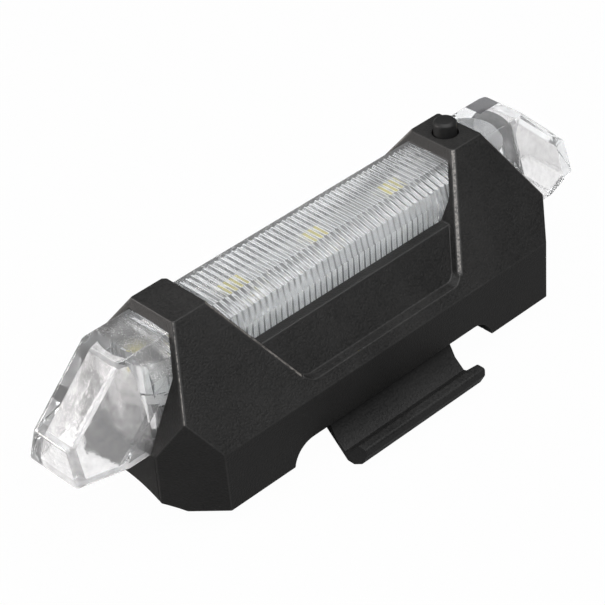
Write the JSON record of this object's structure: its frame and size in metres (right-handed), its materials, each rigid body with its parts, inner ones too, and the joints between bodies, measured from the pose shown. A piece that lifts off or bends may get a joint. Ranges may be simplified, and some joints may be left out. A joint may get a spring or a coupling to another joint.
{
  "type": "bicycle tail light",
  "caption": "Slim rechargeable bicycle tail light with a faceted black housing, a clear lens ribbed inside between two bridges, a push button, strap hooks and a seat-post saddle.",
  "frame": {"origin": "middle of the length and the width, on the plane that the toes of the two strap hooks stand on", "axes": "+X along the light towards the button's end, +Y to the left of that, +Z out through the flat top of the lens"},
  "size_m": [0.076, 0.0318, 0.0232],
  "materials": {
    "black_shell": "matt, fine moulded texture",
    "black_cover": "matt, fine moulded texture",
    "silicone": "smooth",
    "clear_lens": "clear moulding, polished outside and ribbed inside",
    "black_button": "satin",
    "black_nylon": "matt",
    "steel_sheet": "plated sheet",
    "white_board": "white lacquer",
    "lamp_white": "moulded",
    "lamp_yellow": "cast resin",
    "black_rubber": "matt",
    "cell_foil": "laminated foil",
    "foam": "open foam",
    "red_lead": "smooth sleeve",
    "black_lead": "smooth sleeve",
    "chip_black": "moulded",
    "capacitor_brown": "ceramic",
    "screw_steel": "plated"
  },
  "bodies": {
    "light": {"housing": "black_shell", "back_cover": "black_cover", "cover_seals": "silicone", "lens": "clear_lens", "switch_body": "steel_sheet", "circuit_board": "white_board", "middle_lamps": "lamp_white", "end_lamps": "lamp_white", "lamp_resin": "lamp_yellow", "port_shell": "steel_sheet", "port_tongue": "black_nylon", "flap_anchor": "black_rubber", "battery_cell": "cell_foil", "battery_foam": "foam", "lead_red": "red_lead", "lead_black": "black_lead", "driver_chip": "chip_black", "charger_chip": "chip_black", "resistors": "chip_black", "capacitors": "capacitor_brown", "cover_screws": "screw_steel"},
    "button": {"power_button": "black_button"},
    "plunger": {"switch_plunger": "black_nylon"},
    "flap": {"port_flap": "black_rubber"}
  },
  "joints": [
    {"name": "button_press", "type": "slide", "parent": "light", "child": "button", "axis": [0, 0, -1], "range_m": [0, 0.0004], "stiffness_N_per_m": 400, "springref_m": -0.0002},
    {"name": "plunger_travel", "type": "slide", "parent": "light", "child": "plunger", "axis": [0, 0, -1], "range_m": [0, 0.0004]},
    {"name": "flap_swing", "type": "hinge", "parent": "light", "child": "flap", "pos_m": [-0.0266, 0, 0.0049], "axis": [0, 1, 0], "range_deg": [0, 95]}
  ],
  "couplings": [
    {"joint": "plunger_travel", "follows": "button_press", "ratio": 1}
  ]
}
